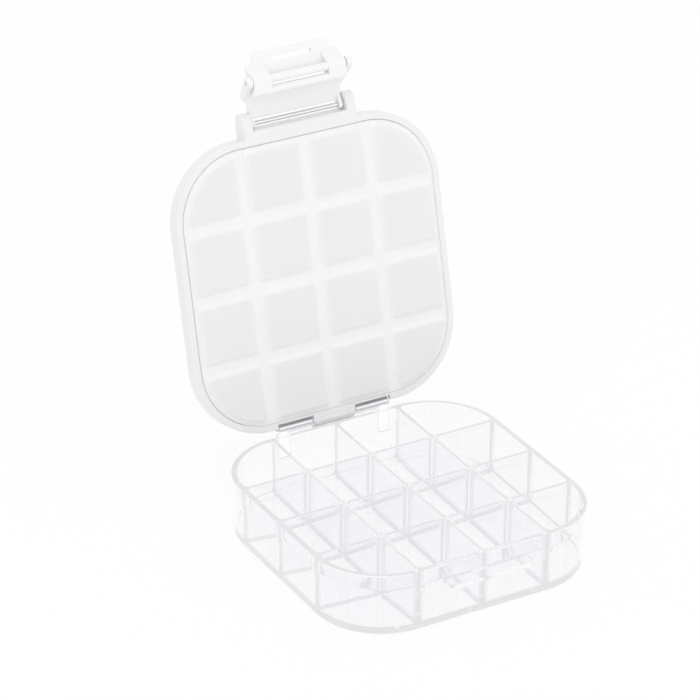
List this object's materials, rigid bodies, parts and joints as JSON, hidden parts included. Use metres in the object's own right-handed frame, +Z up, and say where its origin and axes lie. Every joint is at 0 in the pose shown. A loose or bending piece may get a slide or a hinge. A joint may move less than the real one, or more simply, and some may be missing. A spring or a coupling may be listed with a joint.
{
  "type": "paint storage box",
  "caption": "Square round-cornered clear paint box with a grid of compartments, a hinged white lid with a seal pad, and a draw latch that locks the lid shut.",
  "frame": {"origin": "centre of the tray's flat underside", "axes": "X along the hinge, Y from the latch to the hinge, Z up out of the compartments"},
  "size_m": [0.1048, 0.1431, 0.1568],
  "materials": {
    "clear_polystyrene": "clear moulded polystyrene, polished",
    "white_abs": "moulded, satin",
    "silicone": "translucent, matt moulded",
    "steel": "bright drawn wire"
  },
  "bodies": {
    "tray": {"tray": "clear_polystyrene", "hinge_pin": "steel"},
    "lid": {"lid": "white_abs", "seal_pad": "silicone", "yoke_pin": "steel"},
    "latch_yoke": {"latch_yoke": "white_abs", "lever_pin": "steel"},
    "latch_lever": {"latch_lever": "white_abs"}
  },
  "joints": [
    {"name": "lid_hinge", "type": "hinge", "parent": "tray", "child": "lid", "pos_m": [0, 0.0529, 0.0258], "axis": [1, 0, 0], "range_deg": [0, 103.5]},
    {"name": "yoke_hinge", "type": "hinge", "parent": "lid", "child": "latch_yoke", "pos_m": [0, 0.07979, 0.13247], "axis": [1, 0, 0], "range_deg": [-45, 81.5]},
    {"name": "lever_hinge", "type": "hinge", "parent": "latch_yoke", "child": "latch_lever", "pos_m": [0, 0.07794, 0.14893], "axis": [1, 0, 0], "range_deg": [0, 25]}
  ]
}
